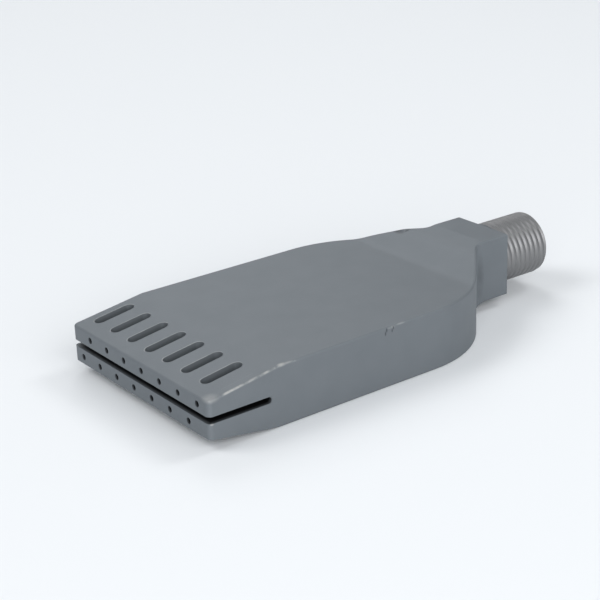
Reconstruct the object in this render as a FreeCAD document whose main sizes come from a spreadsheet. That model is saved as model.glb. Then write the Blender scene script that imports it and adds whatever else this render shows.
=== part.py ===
import FreeCAD, Part
import math
import os
import Sketcher

os.makedirs("parts", exist_ok=True)
doc = FreeCAD.newDocument("air_nozzle")

# Lengths in mm. X is across the nozzle, Y runs from the lips to the thread,
# Z is up from the surface that the nozzle lies on. The body, the square neck
# and the thread follow one another along Y.
named_sizes = [
    ("body_length", 76.6, "lips to where the shoulders meet the neck"),
    ("neck_length", 8.7, "neck with the wrench flats"),
    ("thread_length", 12.9, "thread behind the neck"),
    ("front_width", 46.4, "across the lips"),
    ("back_width", 45.4, "across the body where the shoulders begin"),
    ("shoulder_length", 14.0, "length of the tapered shoulders"),
    ("shoulder_radius", 24.0, "plan radius where the sides turn into the taper"),
    ("corner_radius", 1.0, "plan radius of the two front corners"),
    ("lip_stack_height", 7.3, "both lips and the slit at the front"),
    ("slit_height", 6.0, "height of the middle of the slit"),
    ("slit_gap", 1.3, "opening between the lips"),
    ("slit_depth", 13.4, "from the front to the round end of the slit"),
    ("wedge_length", 15.6, "front to the kink, above and below"),
    ("kink_thickness", 12.0, "body at the kink"),
    ("plateau_thickness", 12.25, "body at the foot of the ramp"),
    ("ramp_length", 7.0, "ramp up to the neck"),
    ("crest_to_neck", 3.6, "crest of the ramp to the end of the shoulders"),
    ("crest_drop", 0.65, "crest of the ramp below the top of the neck"),
    ("heel_to_neck", 3.6, "end of the flat underside to the shoulders' end"),
    ("root_round", 2.8, "plan radius of the hollow corners at the neck"),
    ("neck_flats", 15.1, "across the wrench flats"),
    ("neck_depth", 13.3, "neck from top to bottom"),
    ("neck_height", 8.7, "height of the neck and thread axis"),
    ("thread_major", 13.157, "quarter inch pipe thread, outer diameter"),
    ("thread_chamfer", 0.6, "lead-in at the end of the thread"),
    ("bore", 8.8, "inlet bore"),
    ("bore_lead", 0.6, "chamfer at the mouth of the bore"),
    ("orifice", 1.25, "air orifice"),
    ("orifice_rise", 2.18, "orifice row above or below the slit's middle"),
    ("orifice_margin", 3.45, "outermost orifice to the side of the lips"),
    ("slot_width", 2.35, "entrainment slot"),
    ("slot_margin", 3.1, "front to the slots"),
    ("slot_length", 8.6, "length of the slots"),
    ("drill_length", 20.0, "lips to the front wall of the air chamber"),
    ("chamber_wall", 2.4, "wall around the chamber"),
    ("ramp_foot_round", 8.0, "soft foot of the ramp"),
    ("ramp_crest_round", 3.0, "soft crest of the ramp"),
    ("rim_round", 0.45, "rounding of the outer edges"),
]
sheet = doc.addObject("Spreadsheet::Sheet", "sizes")
numbers = {}
for row, (alias, number, meaning) in enumerate(named_sizes, start=1):
    sheet.set("A%d" % row, meaning)
    sheet.set("B%d" % row, str(number))
    sheet.setAlias("B%d" % row, alias)
    numbers[alias] = number
doc.recompute()


class Dim:
    """A length that keeps its number and the sheet formula behind it."""

    def __init__(self, number, formula):
        self.number = number
        self.formula = formula

    def join(self, other, sign, number):
        text = other.formula if isinstance(other, Dim) else "%g mm" % other
        if sign in "*/":
            text = other.formula if isinstance(other, Dim) else "%g" % other
        return Dim(number, "(%s %s %s)" % (self.formula, sign, text))

    def __add__(self, other):
        return self.join(other, "+", self.number + getattr(other, "number", other))

    def __sub__(self, other):
        return self.join(other, "-", self.number - getattr(other, "number", other))

    def __mul__(self, other):
        return self.join(other, "*", self.number * other)

    def __truediv__(self, other):
        return self.join(other, "/", self.number / other)


def size(alias):
    return Dim(numbers[alias], "(sizes.%s * 1 mm)" % alias)


overall = size("body_length") + size("neck_length") + size("thread_length")
front = overall / -2
back = overall / 2
neck_root = front + size("body_length")
neck_end = back - size("thread_length")


nozzle = doc.addObject("PartDesign::Body", "nozzle_body")
nozzle.Label = "nozzle_body"


def plane(role):
    for feature in nozzle.Origin.OriginFeatures:
        if feature.Role == role:
            return feature
    raise ValueError(role)


def new_sketch(name, role, offset=None):
    sketch = nozzle.newObject("Sketcher::SketchObject", name)
    sketch.AttachmentSupport = [(plane(role), "")]
    sketch.MapMode = "FlatFace"
    if offset is not None:
        sketch.AttachmentOffset = FreeCAD.Placement(
            FreeCAD.Vector(0, 0, offset.number), FreeCAD.Rotation())
        sketch.setExpression("AttachmentOffset.Base.z", offset.formula)
    return sketch


def bind(sketch, kind, places, length):
    index = sketch.addConstraint(
        Sketcher.Constraint(kind, *places, length.number))
    sketch.setExpression("Constraints[%d]" % index, length.formula)


def pin(sketch, edge, end, across, along):
    bind(sketch, "DistanceX", (-1, 1, edge, end), across)
    bind(sketch, "DistanceY", (-1, 1, edge, end), along)


def outline(sketch, corners):
    """Closed run of straight edges through the given corners."""
    vectors = [FreeCAD.Vector(a.number, b.number, 0) for a, b in corners]
    first = sketch.GeometryCount
    count = len(corners)
    for i in range(count):
        sketch.addGeometry(Part.LineSegment(vectors[i], vectors[(i + 1) % count]))
    for i in range(count):
        sketch.addConstraint(Sketcher.Constraint(
            "Coincident", first + i, 2, first + (i + 1) % count, 1))
    for i, (a, b) in enumerate(corners):
        pin(sketch, first + i, 1, a, b)


def check(feature):
    doc.recompute()
    if not feature.Shape or feature.Shape.isNull() or not feature.Shape.isValid():
        raise ValueError("%s has no valid shape" % feature.Name)
    if "Invalid" in feature.State or "Error" in feature.State:
        raise ValueError("%s failed" % feature.Name)
    return feature


def pad(name, sketch, length):
    feature = nozzle.newObject("PartDesign::Pad", name)
    feature.Profile = sketch
    feature.Length = length.number
    feature.setExpression("Length", length.formula)
    return check(feature)


def cut(name, sketch, length, upward=False, both_ways=False):
    before = nozzle.Tip.Shape.Volume
    feature = nozzle.newObject("PartDesign::Pocket", name)
    feature.Profile = sketch
    feature.Length = length.number
    feature.setExpression("Length", length.formula)
    feature.Reversed = upward
    feature.Midplane = both_ways
    check(feature)
    if not feature.Shape.Volume < before - 0.01:
        raise ValueError("%s cut nothing" % name)
    return feature


def vec(x, y):
    return FreeCAD.Vector(x, y, 0)


def circle(x, y, r):
    return Part.Circle(vec(x, y), FreeCAD.Vector(0, 0, 1), r)


def round_edges(name, length, wanted):
    """Fillet on the edges of the solid so far that the rule picks."""
    base = nozzle.Tip
    shape = base.Shape
    picked = []
    for number, edge in enumerate(shape.Edges, start=1):
        if wanted(shape, edge):
            picked.append("Edge%d" % number)
    if not picked:
        raise ValueError("%s found no edge" % name)
    feature = nozzle.newObject("PartDesign::Fillet", name)
    feature.Base = (base, picked)
    feature.Radius = length.number
    feature.setExpression("Radius", length.formula)
    return check(feature)


def close(a, b):
    return abs(a - b) < 0.02


def middle(edge):
    return edge.valueAt((edge.FirstParameter + edge.LastParameter) / 2)


def runs_up(edge):
    return close(edge.BoundBox.XLength, 0) and close(edge.BoundBox.YLength, 0)


def runs_across(edge):
    return close(edge.BoundBox.YLength, 0) and close(edge.BoundBox.ZLength, 0)


def is_sharp(shape, edge):
    faces = shape.ancestorsOfType(edge, Part.Face)
    if len(faces) != 2:
        return False
    point = middle(edge)
    normals = []
    for face in faces:
        u, v = face.Surface.parameter(point)
        normals.append(face.normalAt(u, v))
    return normals[0].getAngle(normals[1]) > math.radians(30)


zero = size("front_width") * 0
half_front = size("front_width") / 2
half_back = size("back_width") / 2
half_neck = size("neck_flats") / 2
neck_top = size("neck_height") + size("neck_depth") / 2
neck_bottom = size("neck_height") - size("neck_depth") / 2
outside = size("wedge_length")
root_round = size("root_round")
neck_level = neck_root + root_round * 0.7

shoulder = neck_root - size("shoulder_length")

# Plan outline: long sides, tapered shoulders and the neck.
plan = new_sketch("plan_outline", "XY_Plane")
outline(plan, [
    (half_front, front),
    (half_back, shoulder),
    (half_neck, neck_root),
    (half_neck, neck_end),
    (zero - half_neck, neck_end),
    (zero - half_neck, neck_root),
    (zero - half_back, shoulder),
    (zero - half_front, front)])
pad("plan_block", plan, neck_top)
round_edges("shoulder_rounds", size("shoulder_radius"),
            lambda shape, edge: runs_up(edge)
            and close(middle(edge).y, shoulder.number))
round_edges("neck_root_rounds", root_round,
            lambda shape, edge: runs_up(edge)
            and close(middle(edge).y, neck_root.number))

# Side outline above: wedge, plateau, ramp and the level top of the neck.
lip_top = size("slit_height") + size("lip_stack_height") / 2
lip_bottom = size("slit_height") - size("lip_stack_height") / 2
kink = front + size("wedge_length")
crest = neck_root - size("crest_to_neck")
ramp_foot = crest - size("ramp_length")
above = new_sketch("side_above", "YZ_Plane")
outline(above, [
    (front - outside, neck_top + outside),
    (front - outside, lip_top),
    (front, lip_top),
    (kink, size("kink_thickness")),
    (ramp_foot, size("plateau_thickness")),
    (crest, neck_top - size("crest_drop")),
    (neck_level, neck_top),
    (neck_level, neck_top + outside)])
cut("cut_above", above, size("front_width") * 1.5, both_ways=True)

# Side outline below: the lower wedge, and the heel up to the neck.
below = new_sketch("side_below", "YZ_Plane")
outline(below, [
    (front - outside, zero - outside),
    (kink, zero - outside),
    (kink, zero),
    (front, lip_bottom),
    (front - outside, lip_bottom)])
cut("cut_below", below, size("front_width") * 1.5, both_ways=True)
heel_foot = neck_root - size("heel_to_neck")
heel = new_sketch("side_heel", "YZ_Plane")
outline(heel, [
    (heel_foot, zero - outside),
    (back, zero - outside),
    (back, neck_bottom),
    (neck_level, neck_bottom),
    (heel_foot, zero)])
cut("cut_heel", heel, size("front_width") * 1.5, both_ways=True)

# The front corners in plan, and the soft foot and crest of the ramp.
round_edges("corner_rounds", size("corner_radius"),
            lambda shape, edge: runs_up(edge) and close(middle(edge).y, front.number))
round_edges("ramp_foot_round", size("ramp_foot_round"),
            lambda shape, edge: runs_across(edge)
            and close(middle(edge).y, ramp_foot.number)
            and middle(edge).z > size("slit_height").number)
round_edges("ramp_crest_round", size("ramp_crest_round"),
            lambda shape, edge: runs_across(edge)
            and close(middle(edge).y, crest.number))
round_edges("neck_level_rounds", size("ramp_foot_round"),
            lambda shape, edge: runs_across(edge)
            and close(middle(edge).y, neck_level.number))

# Every outer edge is softly rounded, as a blasted casting's are.
rim = size("rim_round")
round_edges("lower_rim", rim,
            lambda shape, edge: is_sharp(shape, edge)
            and edge.BoundBox.ZMax < neck_bottom.number + 0.1
            and edge.BoundBox.YMin > front.number + 0.1
            and edge.BoundBox.YMin < neck_end.number - 0.1)
round_edges("upper_rim", rim,
            lambda shape, edge: is_sharp(shape, edge)
            and edge.BoundBox.ZMin > lip_top.number - 0.1
            and edge.BoundBox.YMin > front.number + 0.1
            and edge.BoundBox.YMin < neck_end.number - 0.1)

# Thread blank behind the neck: the full diameter and a lead-in at its end.
axis = size("neck_height")
major = size("thread_major") / 2
lead_in = size("thread_chamfer")


def turned(name, kind, corners):
    """Turned about the neck axis, which the first two corners span."""
    sketch = new_sketch(name + "_profile", "YZ_Plane")
    outline(sketch, corners)
    feature = nozzle.newObject(kind, name)
    feature.Profile = sketch
    feature.ReferenceAxis = (sketch, ["Edge1"])
    feature.Angle = 360
    return check(feature)


turned("spigot", "PartDesign::Revolution", [
    (neck_end - rim * 2, axis),
    (back, axis),
    (back, axis + major - lead_in),
    (back - lead_in, axis + major),
    (neck_end - rim * 2, axis + major)])

# Air path: inlet bore, a short throat, and the flat chamber that narrows
# toward it.
bore_start = neck_root + size("bore_lead")
bore_wall = size("bore") / 2
lead = size("bore_lead")
turned("bore", "PartDesign::Groove", [
    (bore_start, axis),
    (back + lead, axis),
    (back + lead, axis + bore_wall + lead * 2),
    (back - lead, axis + bore_wall),
    (bore_start, axis + bore_wall)])

wall = size("chamber_wall")
roof = size("kink_thickness") - wall
chamber_half = half_back - wall
front_half = chamber_half - wall
chamber_front = front + size("drill_length")
chamber_turn = shoulder - size("shoulder_radius") * 0.45
chamber = new_sketch("chamber_outline", "XY_Plane", wall)
outline(chamber, [
    (zero - front_half, chamber_front),
    (front_half, chamber_front),
    (chamber_half, chamber_front + wall),
    (chamber_half, chamber_turn),
    (bore_wall, heel_foot),
    (zero - bore_wall, heel_foot),
    (zero - chamber_half, chamber_turn),
    (zero - chamber_half, chamber_front + wall)])
cut("chamber", chamber, roof - wall, upward=True)

inscribed = bore_wall * 0.7
throat = new_sketch("throat_profile", "YZ_Plane")
outline(throat, [
    (heel_foot - rim, wall),
    (bore_start + rim, axis - inscribed),
    (bore_start + rim, axis + inscribed),
    (heel_foot - rim, roof)])
cut("throat", throat, inscribed * 2, both_ways=True)

# The slit between the lips, open at both sides and round at its end.
slit = new_sketch("slit_profile", "YZ_Plane")
half_gap = size("slit_gap") / 2
slit_mid = size("slit_height")
slit_round = front + size("slit_depth") - half_gap
low = slit_mid - half_gap
high = slit_mid + half_gap
slit.addGeometry([
    Part.LineSegment(vec((front - rim * 4).number, low.number),
                     vec(slit_round.number, low.number)),
    Part.ArcOfCircle(circle(slit_round.number, slit_mid.number, half_gap.number),
                     -math.pi / 2, math.pi / 2),
    Part.LineSegment(vec(slit_round.number, high.number),
                     vec((front - rim * 4).number, high.number)),
    Part.LineSegment(vec((front - rim * 4).number, high.number),
                     vec((front - rim * 4).number, low.number))], False)
slit.addConstraint([
    Sketcher.Constraint("Tangent", 0, 2, 1, 1),
    Sketcher.Constraint("Tangent", 1, 2, 2, 1),
    Sketcher.Constraint("Coincident", 2, 2, 3, 1),
    Sketcher.Constraint("Coincident", 3, 2, 0, 1),
    Sketcher.Constraint("Horizontal", 0),
    Sketcher.Constraint("Vertical", 3)])
pin(slit, 0, 1, front - rim * 4, low)
pin(slit, 1, 3, slit_round, slit_mid)
cut("slit", slit, size("front_width") * 1.5, both_ways=True)


def repeat(name, feature, sketch):
    before = nozzle.Tip.Shape.Volume
    pattern = nozzle.newObject("PartDesign::LinearPattern", name)
    pattern.Originals = [feature]
    pattern.Direction = (sketch, ["H_Axis"])
    nozzle.Tip = pattern
    doc.recompute()
    pattern.Length = (pitch * (row_count - 1)).number
    pattern.setExpression("Length", (pitch * (row_count - 1)).formula)
    pattern.Occurrences = row_count
    check(pattern)
    if not pattern.Shape.Volume < before - 0.01:
        raise ValueError("%s cut nothing" % name)
    return pattern


# Two rows of orifices, half a pitch apart across the nozzle. Over and under
# the gaps between them lie the slots that let outside air into the slit.
row_count = 7
pitch = (size("front_width") - size("orifice_margin") * 2) / (row_count - 0.5)
first = zero - pitch * ((row_count - 1) / 2)
rise = size("orifice_rise")
drill_depth = size("drill_length") + rim
slot_half = size("slot_width") / 2
slot_front = front + size("slot_margin") + slot_half
slot_back = slot_front + size("slot_length") - size("slot_width")
for name, side in (("upper", 1), ("lower", -1)):
    shift = pitch / 4 * side
    drill = new_sketch(name + "_orifice_place", "XZ_Plane", zero - front)
    drill.addGeometry(circle((first + shift).number,
                             (slit_mid + rise * side).number,
                             (size("orifice") / 2).number))
    pin(drill, 0, 3, first + shift, slit_mid + rise * side)
    bind(drill, "Radius", (0,), size("orifice") / 2)
    hole = cut(name + "_orifice", drill, drill_depth)
    repeat(name + "_orifices", hole, drill)

    x = first - shift
    opening = new_sketch(name + "_slot_place", "XY_Plane", slit_mid)
    opening.addGeometry([
        Part.ArcOfCircle(circle(x.number, slot_front.number, slot_half.number),
                         math.pi, 2 * math.pi),
        Part.LineSegment(vec((x + slot_half).number, slot_front.number),
                         vec((x + slot_half).number, slot_back.number)),
        Part.ArcOfCircle(circle(x.number, slot_back.number, slot_half.number),
                         0, math.pi),
        Part.LineSegment(vec((x - slot_half).number, slot_back.number),
                         vec((x - slot_half).number, slot_front.number))], False)
    opening.addConstraint([
        Sketcher.Constraint("Tangent", 0, 2, 1, 1),
        Sketcher.Constraint("Tangent", 1, 2, 2, 1),
        Sketcher.Constraint("Tangent", 2, 2, 3, 1),
        Sketcher.Constraint("Tangent", 3, 2, 0, 1)])
    pin(opening, 0, 3, x, slot_front)
    pin(opening, 2, 3, x, slot_back)
    bind(opening, "Radius", (0,), slot_half)
    slot = cut(name + "_slot", opening, slit_mid, upward=side > 0)
    repeat(name + "_slots", slot, opening)

shape = nozzle.Shape
for item in doc.Objects:
    if "Invalid" in item.State or "Error" in item.State:
        raise ValueError("%s is not sound" % item.Name)
if not shape.isValid() or len(shape.Solids) != 1:
    raise ValueError("the nozzle is not one sound solid")
shape.exportStep("parts/nozzle_body.step")
print("nozzle_body volume %.0f mm3, solids %d" % (shape.Volume, len(shape.Solids)))
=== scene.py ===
import math

import bmesh
import bpy
from mathutils import Matrix, Vector


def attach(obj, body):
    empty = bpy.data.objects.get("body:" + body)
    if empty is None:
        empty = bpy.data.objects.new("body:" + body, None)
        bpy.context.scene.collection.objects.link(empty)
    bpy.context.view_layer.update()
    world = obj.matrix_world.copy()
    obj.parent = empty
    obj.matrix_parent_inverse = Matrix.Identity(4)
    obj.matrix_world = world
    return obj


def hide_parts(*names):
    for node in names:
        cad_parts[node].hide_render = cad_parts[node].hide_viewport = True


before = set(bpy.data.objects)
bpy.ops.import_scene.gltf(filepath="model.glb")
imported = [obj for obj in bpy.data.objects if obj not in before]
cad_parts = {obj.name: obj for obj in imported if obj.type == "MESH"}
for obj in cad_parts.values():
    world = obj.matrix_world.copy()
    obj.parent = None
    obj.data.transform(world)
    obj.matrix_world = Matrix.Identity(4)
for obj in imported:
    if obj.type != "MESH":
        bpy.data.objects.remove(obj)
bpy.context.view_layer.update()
print("frame loaded")

mm = 0.001
scene = bpy.context.scene


# small helpers for node trees

def link(tree, source, target):
    tree.links.new(source, target)


def feed(tree, target, value):
    if hasattr(value, "links"):
        link(tree, value, target)
    else:
        target.default_value = value


def addMath(tree, operation, first, second=0.0, third=None, clamp=False):
    node = tree.nodes.new("ShaderNodeMath")
    node.operation = operation
    node.use_clamp = clamp
    feed(tree, node.inputs[0], first)
    feed(tree, node.inputs[1], second)
    if third is not None:
        feed(tree, node.inputs[2], third)
    return node.outputs[0]


def mixColour(tree, share, first, second):
    # a Mix node takes colours at sockets 6 and 7 and gives the result at 2
    node = tree.nodes.new("ShaderNodeMix")
    node.data_type = "RGBA"
    link(tree, share, node.inputs[0])
    feed(tree, node.inputs[6], first)
    feed(tree, node.inputs[7], second)
    return node.outputs[2]


def mixValue(tree, share, first, second):
    # plain values go in at sockets 2 and 3 and come out at 0
    node = tree.nodes.new("ShaderNodeMix")
    link(tree, share, node.inputs[0])
    feed(tree, node.inputs[2], first)
    feed(tree, node.inputs[3], second)
    return node.outputs[0]


def applyGeometryNodes(holder, tree, values):
    modifier = holder.modifiers.new("build", "NODES")
    modifier.node_group = tree
    for item in tree.interface.items_tree:
        if item.item_type == "SOCKET" and item.in_out == "INPUT" and item.name in values:
            modifier[item.identifier] = values[item.name]
    evaluated = holder.evaluated_get(bpy.context.evaluated_depsgraph_get())
    mesh = bpy.data.meshes.new_from_object(evaluated)
    holder.modifiers.remove(modifier)
    holder.data = mesh
    return mesh


# materials

grainNoise = {"detail": 3.0, "roughness": 0.6, "waveDetail": 2.0}


def blastedGrainGroup():
    # fine blasted grain over the soft waves of the casting, as one height
    group = bpy.data.node_groups.new("blastedGrain", "ShaderNodeTree")
    sockets = group.interface
    for name in ("Grain Scale", "Wave Scale", "Wave Share"):
        sockets.new_socket(name=name, in_out="INPUT", socket_type="NodeSocketFloat")
    for name in ("Height", "Mottle"):
        sockets.new_socket(name=name, in_out="OUTPUT", socket_type="NodeSocketFloat")
    start = group.nodes.new("NodeGroupInput")
    end = group.nodes.new("NodeGroupOutput")
    place = group.nodes.new("ShaderNodeTexCoord")
    grain = group.nodes.new("ShaderNodeTexNoise")
    grain.inputs["Detail"].default_value = grainNoise["detail"]
    grain.inputs["Roughness"].default_value = grainNoise["roughness"]
    wave = group.nodes.new("ShaderNodeTexNoise")
    wave.inputs["Detail"].default_value = grainNoise["waveDetail"]
    for texture, scale in ((grain, "Grain Scale"), (wave, "Wave Scale")):
        link(group, place.outputs["Object"], texture.inputs["Vector"])
        link(group, start.outputs[scale], texture.inputs["Scale"])
    waves = addMath(group, "MULTIPLY", wave.outputs["Fac"], start.outputs["Wave Share"])
    height = addMath(group, "ADD", grain.outputs["Fac"], waves)
    link(group, height, end.inputs["Height"])
    link(group, wave.outputs["Fac"], end.inputs["Mottle"])
    return group


# Places below are in mm from the middle of the nozzle, like the part's own sizes.
body = {
    "front": -49.1, "halfWidth": 23.2, "taper": 0.008, "lipTop": 9.65,
    "wedgeLength": 15.6, "wedgeRise": 0.1506,
    "slitMiddle": 6.0, "slitReach": 0.72, "slitDepth": 13.6,
    "pitch": 6.0769, "rowCount": 7, "firstOrifice": -18.231, "orificeRise": 2.18,
    "orificeReach": 0.67, "drillLength": 20.2,
    "firstSlot": -19.75, "slotMiddle": 7.4, "slotStraight": 3.125, "slotRadius": 1.175,
}

# How the painted shade in the slit and the drilled passages fades in, in mm.
recessShadeLook = {"wallFade": 0.02, "endFade": 0.1, "slitFade": 1.0, "drillFade": 0.5}

# Wear along the upper long edges, in mm apart from the noise and its contrast.
edgeWear = {
    "sideInset": 0.2, "topInset": 0.15, "width": 0.30, "widthFade": 0.20,
    "wedgeOver": 2.0, "wedgeFade": 3.0, "cornerGap": 2.0, "cornerFade": 2.0,
    "length": 58.0, "lengthFade": 6.0,
    "noiseScale": 420.0, "noiseDetail": 3.0, "plainShare": -0.60, "wedgeShare": 0.24,
    "contrast": 5.0,
}

# The thin bright rim on the far side of each upper slot: edge wear with a painted highlight, kept
# to the far side where the light catches it; in mm apart from its strength.
slotRimWearAndHighlight = {
    "outside": 0.12, "width": 0.15, "fade": 0.10, "topGap": 0.10, "topFade": 0.03,
    "farLimit": 0.2, "farFade": 0.6, "sideLimit": 21.5, "sideFade": 0.2, "strength": 0.75,
}

# Light spots (painted highlights on the near lip corners, worn-through skin elsewhere) and
# dark spots (nicks, a smudge, painted shade): each has its centre, its reach along x, y and z,
# and its strength.
spots = {
    "WornAndHighlight": [
        # painted highlights on the near front corner of the upper lip
        ((22.4, -48.0, 9.8), (2.0, 1.9, 0.9), 0.40),
        ((22.9, -48.6, 9.7), (0.6, 0.7, 0.4), 0.5),
        # worn-through skin at the kink
        ((23.0, -33.2, 12.0), (0.7, 1.2, 0.5), 1.0),
        ((23.0, -32.0, 12.0), (0.4, 1.8, 0.3), 0.7),
        # painted highlight on the near front corner of the lower lip
        ((23.1, -48.4, 5.2), (0.35, 0.5, 0.25), 0.7),
        # worn-through skin along the near top edge
        ((22.9, -5.6, 12.1), (0.4, 1.5, 0.3), 0.7),
    ],
    "DarkAndShade": [
        # nicks below the near top edge
        ((22.9, -9.4, 11.0), (0.5, 0.24, 0.6), 0.9),
        ((22.9, -9.1, 11.6), (0.5, 0.24, 0.6), 0.9),
        ((22.9, -7.8, 11.2), (0.5, 0.22, 0.5), 0.8),
        ((22.9, -7.5, 11.7), (0.5, 0.22, 0.5), 0.8),
        # dark smudge at the far end of the crest
        ((-11.3, 22.9, 14.5), (1.9, 1.1, 0.8), 1.0),
        ((-9.8, 23.9, 14.7), (0.5, 0.9, 0.8), 1.0),
        # painted shade in the concave corner at the near neck root
        ((8.2, 28.6, 8.0), (1.6, 1.3, 6.0), 0.40),
    ],
}
spotEdge = {"fade": 0.7, "contrast": 1.8}


def below(tree, value, limit, width):
    # falls from 1 to 0 over the width and reaches 0 at the limit
    return addMath(tree, "DIVIDE", addMath(tree, "SUBTRACT", limit, value), width, clamp=True)


def above(tree, value, limit, width):
    # 0 up to the limit, then rises to 1 over the width
    return addMath(tree, "DIVIDE", addMath(tree, "SUBTRACT", value, limit), width, clamp=True)


def product(tree, first, *others):
    for other in others:
        first = addMath(tree, "MULTIPLY", first, other)
    return first


def apart(tree, first, second):
    return addMath(tree, "ABSOLUTE", addMath(tree, "SUBTRACT", first, second))


def hypotenuse(tree, first, second):
    squares = addMath(tree, "ADD", product(tree, first, first), product(tree, second, second))
    return addMath(tree, "SQRT", squares)


def vectorMath(tree, operation, first, second=None):
    node = tree.nodes.new("ShaderNodeVectorMath")
    node.operation = operation
    link(tree, first, node.inputs[0])
    if second is not None:
        node.inputs[1].default_value = second
    return node


def recessShadeMask(tree, x, z, side, back):
    # painted shade on the slit's walls, darker the deeper they lie
    fromMiddle = apart(tree, z, body["slitMiddle"])
    inset = addMath(tree, "MINIMUM", back, addMath(tree, "SUBTRACT", body["halfWidth"], side))
    slit = product(tree, below(tree, fromMiddle, body["slitReach"], recessShadeLook["wallFade"]),
                   below(tree, back, body["slitDepth"], recessShadeLook["endFade"]),
                   above(tree, inset, 0.0, recessShadeLook["slitFade"]))
    # painted shade in the drilled passages behind the two rows of orifices, half a pitch apart
    row = addMath(tree, "SIGN", addMath(tree, "SUBTRACT", z, body["slitMiddle"]))
    start = addMath(tree, "MULTIPLY_ADD", row, body["pitch"] / 4, body["firstOrifice"])
    step = addMath(tree, "DIVIDE", addMath(tree, "SUBTRACT", x, start), body["pitch"])
    nearest = addMath(tree, "MAXIMUM", addMath(tree, "ROUND", step), 0.0)
    nearest = addMath(tree, "MINIMUM", nearest, body["rowCount"] - 1.0)
    across = addMath(tree, "MULTIPLY", addMath(tree, "SUBTRACT", step, nearest), body["pitch"])
    up = addMath(tree, "SUBTRACT", fromMiddle, body["orificeRise"])
    reach = hypotenuse(tree, across, up)
    drilled = product(tree, below(tree, reach, body["orificeReach"], recessShadeLook["wallFade"]),
                      below(tree, back, body["drillLength"], recessShadeLook["endFade"]),
                      above(tree, back, 0.0, recessShadeLook["drillFade"]))
    return addMath(tree, "MAXIMUM", slit, drilled)


def edgeMask(tree, chips, side, back, gapTop):
    # strongest on the wedge, and none right at the front corner
    edgeSide = addMath(tree, "MULTIPLY_ADD", back, -body["taper"],
                       body["halfWidth"] - edgeWear["sideInset"])
    gap = hypotenuse(tree, addMath(tree, "SUBTRACT", side, edgeSide), gapTop)
    onWedge = below(tree, back, body["wedgeLength"] + edgeWear["wedgeOver"],
                    edgeWear["wedgeFade"])
    share = addMath(tree, "MULTIPLY_ADD", onWedge, edgeWear["wedgeShare"],
                    edgeWear["plainShare"])
    rubbed = addMath(tree, "MULTIPLY", addMath(tree, "ADD", chips, share),
                     edgeWear["contrast"], clamp=True)
    return product(tree, below(tree, gap, edgeWear["width"], edgeWear["widthFade"]), rubbed,
                   below(tree, back, edgeWear["length"], edgeWear["lengthFade"]),
                   above(tree, back, edgeWear["cornerGap"], edgeWear["cornerFade"]))


def slotRimWearAndHighlightMask(tree, chips, x, side, back, gapTop):
    # worn rim with a painted highlight, only on the slot's far side
    fromFirst = addMath(tree, "SUBTRACT", x, body["firstSlot"])
    steps = addMath(tree, "ROUND", addMath(tree, "DIVIDE", fromFirst, body["pitch"]))
    across = addMath(tree, "SUBTRACT", fromFirst, addMath(tree, "MULTIPLY", steps, body["pitch"]))
    along = addMath(tree, "SUBTRACT", apart(tree, back, body["slotMiddle"]), body["slotStraight"])
    along = addMath(tree, "MAXIMUM", along, 0.0)
    reach = hypotenuse(tree, addMath(tree, "ABSOLUTE", across), along)
    gap = apart(tree, reach, body["slotRadius"] + slotRimWearAndHighlight["outside"])
    rim = product(tree, below(tree, gap, slotRimWearAndHighlight["width"], slotRimWearAndHighlight["fade"]),
                  above(tree, gapTop, slotRimWearAndHighlight["topGap"], slotRimWearAndHighlight["topFade"]),
                  below(tree, side, slotRimWearAndHighlight["sideLimit"], slotRimWearAndHighlight["sideFade"]),
                  below(tree, across, slotRimWearAndHighlight["farLimit"], slotRimWearAndHighlight["farFade"]))
    return product(tree, rim, addMath(tree, "MULTIPLY", chips, slotRimWearAndHighlight["strength"], clamp=True))


def spotMask(tree, place, chips, centre, radii, strength):
    offset = vectorMath(tree, "SUBTRACT", place, centre)
    scaled = vectorMath(tree, "DIVIDE", offset.outputs[0], radii)
    length = vectorMath(tree, "LENGTH", scaled.outputs[0])
    uneven = addMath(tree, "MULTIPLY", chips, spotEdge["contrast"], clamp=True)
    return product(tree, below(tree, length.outputs["Value"], 1.0, spotEdge["fade"]),
                   addMath(tree, "MULTIPLY", uneven, strength))


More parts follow.
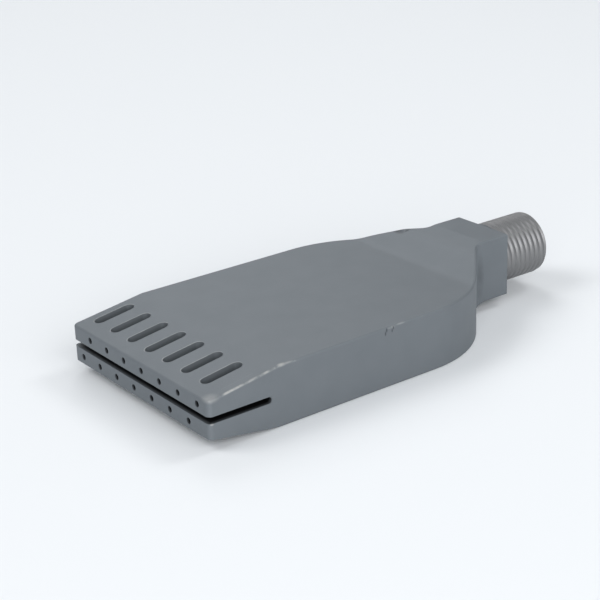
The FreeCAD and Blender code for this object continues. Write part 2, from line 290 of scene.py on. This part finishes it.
def marksGroup():
    # masks from the place on the nozzle: painted shade in deep recesses, worn edges and slot rims
    # with painted highlights, and light and dark spots, some of them painted highlight and shade
    group = bpy.data.node_groups.new("marks", "ShaderNodeTree")
    for name in ("RecessShade", "WornAndHighlight", "DarkAndShade"):
        group.interface.new_socket(name=name, in_out="OUTPUT", socket_type="NodeSocketFloat")
    end = group.nodes.new("NodeGroupOutput")
    here = group.nodes.new("ShaderNodeTexCoord").outputs["Object"]
    inMm = vectorMath(group, "SCALE", here)
    inMm.inputs["Scale"].default_value = 1 / mm
    split = group.nodes.new("ShaderNodeSeparateXYZ")
    link(group, inMm.outputs[0], split.inputs[0])
    x, y, z = split.outputs
    side = addMath(group, "ABSOLUTE", x)
    back = addMath(group, "SUBTRACT", y, body["front"])
    noise = group.nodes.new("ShaderNodeTexNoise")
    noise.inputs["Scale"].default_value = edgeWear["noiseScale"]
    noise.inputs["Detail"].default_value = edgeWear["noiseDetail"]
    link(group, here, noise.inputs["Vector"])
    chips = noise.outputs["Fac"]
    climb = addMath(group, "MINIMUM", back, body["wedgeLength"])
    edgeTop = addMath(group, "MULTIPLY_ADD", climb, body["wedgeRise"],
                      body["lipTop"] - edgeWear["topInset"])
    gapTop = addMath(group, "SUBTRACT", z, edgeTop)

    masks = {
        "RecessShade": [recessShadeMask(group, x, z, side, back)],
        "WornAndHighlight": [edgeMask(group, chips, side, back, gapTop),
                 slotRimWearAndHighlightMask(group, chips, x, side, back, gapTop)],
        "DarkAndShade": [],
    }
    for kind, places in spots.items():
        for centre, radii, strength in places:
            masks[kind].append(spotMask(group, inMm.outputs[0], chips, centre, radii, strength))
    for kind, parts in masks.items():
        whole = parts[0]
        for part in parts[1:]:
            whole = addMath(group, "MAXIMUM", whole, part)
        link(group, whole, end.inputs[kind])
    return group


marksNodes = marksGroup()
grainGroup = blastedGrainGroup()


def metalMaterial(name, look):
    material = bpy.data.materials.new(name)
    material.use_nodes = True
    tree = material.node_tree
    shader = tree.nodes["Principled BSDF"]
    shader.inputs["Metallic"].default_value = look["metallic"]
    shader.inputs["Roughness"].default_value = look["roughness"]
    grain = tree.nodes.new("ShaderNodeGroup")
    grain.node_tree = grainGroup
    grain.inputs["Grain Scale"].default_value = look["grainScale"]
    grain.inputs["Wave Scale"].default_value = look["waveScale"]
    grain.inputs["Wave Share"].default_value = look["waveShare"]
    colour = mixColour(tree, grain.outputs["Mottle"],
                       (*look["darker"], 1.0), (*look["lighter"], 1.0))
    if "wornAndHighlight" in look:
        marked = tree.nodes.new("ShaderNodeGroup")
        marked.node_tree = marksNodes
        # mixes in worn edges with painted highlights, nicks with painted shade, and painted shade
        # in the recesses, which also turn fully metallic
        for mask, shade in (("WornAndHighlight", "wornAndHighlight"), ("DarkAndShade", "nickAndShade"), ("RecessShade", "recessShade")):
            colour = mixColour(tree, marked.outputs[mask], colour, (*look[shade], 1.0))
        metallic = addMath(tree, "MULTIPLY_ADD", marked.outputs["RecessShade"],
                           1.0 - look["metallic"], look["metallic"])
        link(tree, metallic, shader.inputs["Metallic"])
    link(tree, colour, shader.inputs["Base Color"])
    bump = tree.nodes.new("ShaderNodeBump")
    bump.inputs["Strength"].default_value = look["bump"]
    bump.inputs["Distance"].default_value = look["depth"]
    link(tree, grain.outputs["Height"], bump.inputs["Height"])
    link(tree, bump.outputs["Normal"], shader.inputs["Normal"])
    return material


blastedLook = {
    "metallic": 0.55, "roughness": 0.58,
    "darker": (0.150, 0.168, 0.184), "lighter": (0.172, 0.190, 0.206),
    "grainScale": 2600.0, "waveScale": 180.0, "waveShare": 1.2,
    "bump": 0.35, "depth": 0.00006,
    # colours for worn edges with painted highlights, nicks with painted shade, and painted shade
    # in recesses
    "wornAndHighlight": (0.42, 0.42, 0.41), "nickAndShade": (0.045, 0.050, 0.055), "recessShade": (0.026, 0.027, 0.029),
}
blastedSteel = metalMaterial("blastedSteel", blastedLook)

threadLook = {
    "metallic": 0.72, "roughness": 0.46,
    "darker": (0.200, 0.201, 0.205), "lighter": (0.238, 0.239, 0.243),
    "grainScale": 1500.0, "waveScale": 300.0, "waveShare": 0.4,
    "bump": 0.15, "depth": 0.00003,
}
machinedSteel = metalMaterial("machinedSteel", threadLook)
print("materials ready")


# casting: the whole nozzle, with a plain root under the thread

casting = {
    "threadFront": 36.95, "step": 0.04, "axisHeight": 8.7, "rootRadius": 5.7225,
    "sharpAngle": 32.0, "mergeGap": 0.0005, "cutGap": 0.0001, "seamMargin": 0.01,
}


def buildCasting(values):
    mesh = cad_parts["nozzle_body"].data.copy()
    mesh.name = "castNozzle"
    shell = bmesh.new()
    shell.from_mesh(mesh)
    bmesh.ops.remove_doubles(shell, verts=shell.verts, dist=values["mergeGap"] * mm)
    for behind in (0.0, values["step"]):
        everything = shell.verts[:] + shell.edges[:] + shell.faces[:]
        bmesh.ops.bisect_plane(shell, geom=everything, dist=values["cutGap"] * mm,
                               plane_co=(0, (values["threadFront"] + behind) * mm, 0),
                               plane_no=(0, 1, 0))
    axis = values["axisHeight"] * mm
    root = values["rootRadius"] * mm
    # what lies behind the middle of the step shrinks onto the root
    limit = (values["threadFront"] + values["step"] / 2) * mm
    for vertex in shell.verts:
        across, up = vertex.co.x, vertex.co.z - axis
        radius = math.hypot(across, up)
        if vertex.co.y > limit and radius > root:
            vertex.co.x = across * root / radius
            vertex.co.z = axis + up * root / radius
    turnedFrom = (values["threadFront"] - values["seamMargin"]) * mm
    for face in shell.faces:
        face.smooth = True
        face.material_index = int(face.calc_center_median().y > turnedFrom)
    for edge in shell.edges:
        if len(edge.link_faces) == 2:
            edge.smooth = edge.calc_face_angle(0.0) < math.radians(values["sharpAngle"])
    shell.to_mesh(mesh)
    shell.free()
    mesh.materials.clear()
    for material in (blastedSteel, machinedSteel):
        mesh.materials.append(material)
    piece = bpy.data.objects.new("castNozzle", mesh)
    scene.collection.objects.link(piece)
    modifier = piece.modifiers.new("soft", "WEIGHTED_NORMAL")
    modifier.keep_sharp = True
    return piece


castNozzle = buildCasting(casting)
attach(castNozzle, "root")
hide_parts("nozzle_body")
print("casting built")


# pipe thread: one closed ring whose outer wall follows the helix

pipeThread = {
    "Start": 36.95, "End": 49.09, "Pitch": 1.337, "Major": 6.5785, "Depth": 0.26,
    "Inner": 5.45, "Axis Height": 8.7, "Crest Flat": 0.30, "Root Flat": 0.10,
    "Chamfer": 0.6, "Run Out": 1.2, "Around": 144, "Along": 170,
}
threadMesh = {"mergeGap": 0.002, "flatEnd": 0.97}


def pipeThreadTree():
    tree = bpy.data.node_groups.new("pipeThread", "GeometryNodeTree")
    sockets = tree.interface
    for name, value in pipeThread.items():
        kind = "NodeSocketInt" if name in ("Around", "Along") else "NodeSocketFloat"
        socket = sockets.new_socket(name=name, in_out="INPUT", socket_type=kind)
        socket.default_value = value
    sockets.new_socket(name="Material", in_out="INPUT", socket_type="NodeSocketMaterial")
    sockets.new_socket(name="Geometry", in_out="OUTPUT", socket_type="NodeSocketGeometry")
    start = tree.nodes.new("NodeGroupInput")
    end = tree.nodes.new("NodeGroupOutput")
    given = start.outputs

    grid = tree.nodes.new("GeometryNodeMeshGrid")
    grid.inputs["Size X"].default_value = 1.0
    grid.inputs["Size Y"].default_value = 1.0
    link(tree, given["Around"], grid.inputs["Vertices X"])
    link(tree, given["Along"], grid.inputs["Vertices Y"])
    place = tree.nodes.new("GeometryNodeInputPosition")
    split = tree.nodes.new("ShaderNodeSeparateXYZ")
    link(tree, place.outputs[0], split.inputs[0])
    turn = addMath(tree, "ADD", split.outputs[0], 0.5)
    run = addMath(tree, "ADD", split.outputs[1], 0.5)
    angle = addMath(tree, "MULTIPLY", turn, 2 * math.pi)
    # two rows at each end lie on the inner radius: they make the flat end
    # and close the ring
    rows = addMath(tree, "SUBTRACT", given["Along"], 1.0)
    row = addMath(tree, "ROUND", addMath(tree, "MULTIPLY", run, rows))
    share = addMath(tree, "DIVIDE", addMath(tree, "SUBTRACT", row, 2.0),
                    addMath(tree, "SUBTRACT", rows, 4.0), clamp=True)
    half = addMath(tree, "MULTIPLY", rows, 0.5)
    fromHalf = addMath(tree, "ABSOLUTE", addMath(tree, "SUBTRACT", row, half))
    inside = addMath(tree, "GREATER_THAN", fromHalf, addMath(tree, "SUBTRACT", half, 1.5))
    closing = addMath(tree, "GREATER_THAN", fromHalf, addMath(tree, "SUBTRACT", half, 0.5))
    span = addMath(tree, "SUBTRACT", given["End"], given["Start"])
    along = addMath(tree, "MULTIPLY_ADD", share, span, given["Start"])
    middle = addMath(tree, "MULTIPLY_ADD", span, 0.5, given["Start"])
    # right-handed helix: the crest moves on by one pitch in each turn
    turns = addMath(tree, "ADD", addMath(tree, "DIVIDE", along, given["Pitch"]), turn)
    phase = addMath(tree, "FRACT", turns)
    swing = addMath(tree, "ABSOLUTE", addMath(tree, "MULTIPLY_ADD", phase, 2.0, -1.0))
    ridge = addMath(tree, "SUBTRACT", 1.0, swing)
    flats = addMath(tree, "ADD", given["Crest Flat"], given["Root Flat"])
    height = addMath(tree, "DIVIDE", addMath(tree, "SUBTRACT", ridge, given["Root Flat"]),
                     addMath(tree, "SUBTRACT", 1.0, flats), clamp=True)
    # the groove runs out toward the neck, and the last ridge ends on a chamfer
    fade = addMath(tree, "DIVIDE", addMath(tree, "SUBTRACT", along, given["Start"]),
                   given["Run Out"], clamp=True)
    groove = addMath(tree, "MULTIPLY", addMath(tree, "SUBTRACT", 1.0, height),
                     addMath(tree, "MULTIPLY", fade, given["Depth"]))
    slope = addMath(tree, "SUBTRACT", addMath(tree, "ADD", along, given["Chamfer"]), given["End"])
    cut = addMath(tree, "MAXIMUM", groove, slope)
    radius = addMath(tree, "SUBTRACT", given["Major"], cut)
    reach = addMath(tree, "MULTIPLY", mixValue(tree, inside, radius, given["Inner"]), mm)
    x = addMath(tree, "MULTIPLY", reach, addMath(tree, "COSINE", angle))
    z = addMath(tree, "MULTIPLY", reach, addMath(tree, "SINE", angle))
    lifted = addMath(tree, "MULTIPLY_ADD", given["Axis Height"], mm, z)
    y = addMath(tree, "MULTIPLY", mixValue(tree, closing, along, middle), mm)
    join = tree.nodes.new("ShaderNodeCombineXYZ")
    for socket, value in zip(join.inputs, (x, y, lifted)):
        link(tree, value, socket)
    move = tree.nodes.new("GeometryNodeSetPosition")
    link(tree, grid.outputs["Mesh"], move.inputs["Geometry"])
    link(tree, join.outputs[0], move.inputs["Position"])
    merge = tree.nodes.new("GeometryNodeMergeByDistance")
    merge.inputs["Distance"].default_value = threadMesh["mergeGap"] * mm
    link(tree, move.outputs[0], merge.inputs[0])
    real = tree.nodes.new("GeometryNodeRealizeInstances")
    link(tree, merge.outputs[0], real.inputs[0])
    dress = tree.nodes.new("GeometryNodeSetMaterial")
    link(tree, real.outputs[0], dress.inputs["Geometry"])
    link(tree, given["Material"], dress.inputs["Material"])
    link(tree, dress.outputs[0], end.inputs[0])
    return tree


def buildThread():
    holder = bpy.data.objects.new("pipeThread", bpy.data.meshes.new("empty"))
    scene.collection.objects.link(holder)
    values = dict(pipeThread)
    values["Material"] = machinedSteel
    mesh = applyGeometryNodes(holder, pipeThreadTree(), values)
    shell = bmesh.new()
    shell.from_mesh(mesh)
    bmesh.ops.recalc_face_normals(shell, faces=shell.faces)
    if shell.calc_volume(signed=True) < 0:
        bmesh.ops.reverse_faces(shell, faces=shell.faces)
    for face in shell.faces:
        face.smooth = abs(face.normal.y) < threadMesh["flatEnd"]
    print("thread faces", len(shell.faces), "open edges",
          sum(1 for edge in shell.edges if len(edge.link_faces) != 2))
    shell.to_mesh(mesh)
    shell.free()
    return holder


threadPiece = buildThread()
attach(threadPiece, "root")
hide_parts("nozzle_body")
print("thread built")


# floor, lamps and camera

stageLook = {"colour": (0.80, 0.82, 0.84), "roughness": 0.9, "size": 3.0}


def buildFloor(values):
    mesh = bpy.data.meshes.new("paleFloor")
    half = values["size"] / 2
    mesh.from_pydata([(-half, -half, 0), (half, -half, 0), (half, half, 0), (-half, half, 0)],
                     [], [(0, 1, 2, 3)])
    floor = bpy.data.objects.new("paleFloor", mesh)
    scene.collection.objects.link(floor)
    material = bpy.data.materials.new("paleFloor")
    material.use_nodes = True
    shader = material.node_tree.nodes["Principled BSDF"]
    shader.inputs["Base Color"].default_value = (*values["colour"], 1.0)
    shader.inputs["Roughness"].default_value = values["roughness"]
    mesh.materials.append(material)
    return floor


floor = buildFloor(stageLook)

lamps = {
    "frontLeft": {"place": (-0.35, -0.60, 0.75), "size": 0.5, "power": 3.6},
    "backTop": {"place": (0.08, 0.55, 0.62), "size": 0.25, "power": 1.2},
    "back": {"place": (-0.60, 0.30, 0.55), "size": 0.4, "power": 1.4},
    "right": {"place": (0.85, -0.05, 0.45), "size": 0.7, "power": 5.0},
    "frontRight": {"place": (0.70, -0.60, 0.30), "size": 0.5, "power": 3.7},
}
lampTarget = Vector((0, 0, 0.005))
for name, values in lamps.items():
    data = bpy.data.lights.new(name, "AREA")
    data.energy = values["power"]
    data.size = values["size"]
    lamp = bpy.data.objects.new(name, data)
    lamp.location = values["place"]
    lamp.rotation_euler = (lampTarget - lamp.location).to_track_quat("-Z", "Y").to_euler()
    scene.collection.objects.link(lamp)

softRoom = {"colour": (0.86, 0.90, 0.94), "strength": 0.36}
world = bpy.data.worlds.new("softRoom")
scene.world = world
world.use_nodes = True
sky = world.node_tree.nodes["Background"]
sky.inputs["Color"].default_value = (*softRoom["colour"], 1.0)
sky.inputs["Strength"].default_value = softRoom["strength"]

cameraPlace = {
    "location": (0.22963, -0.18031, 0.12575), "forward": (-0.74823, 0.5491, -0.37236),
    "roll": -2.116, "lens": 95.21, "sensor": 36.0, "near": 0.01, "far": 20.0,
}


def buildCamera(values):
    data = bpy.data.cameras.new("photoCamera")
    data.lens = values["lens"]
    data.sensor_width = values["sensor"]
    data.clip_start = values["near"]
    data.clip_end = values["far"]
    camera = bpy.data.objects.new("photoCamera", data)
    forward = Vector(values["forward"]).normalized()
    right = forward.cross(Vector((0, 0, 1))).normalized()
    up = right.cross(forward)
    roll = math.radians(values["roll"])
    tiltedRight = right * math.cos(roll) + up * math.sin(roll)
    tiltedUp = up * math.cos(roll) - right * math.sin(roll)
    pose = Matrix((tiltedRight, tiltedUp, -forward)).transposed().to_4x4()
    pose.translation = Vector(values["location"])
    camera.matrix_world = pose
    scene.collection.objects.link(camera)
    scene.camera = camera
    return camera


buildCamera(cameraPlace)
scene.view_settings.view_transform = "Standard"
print("stage ready")
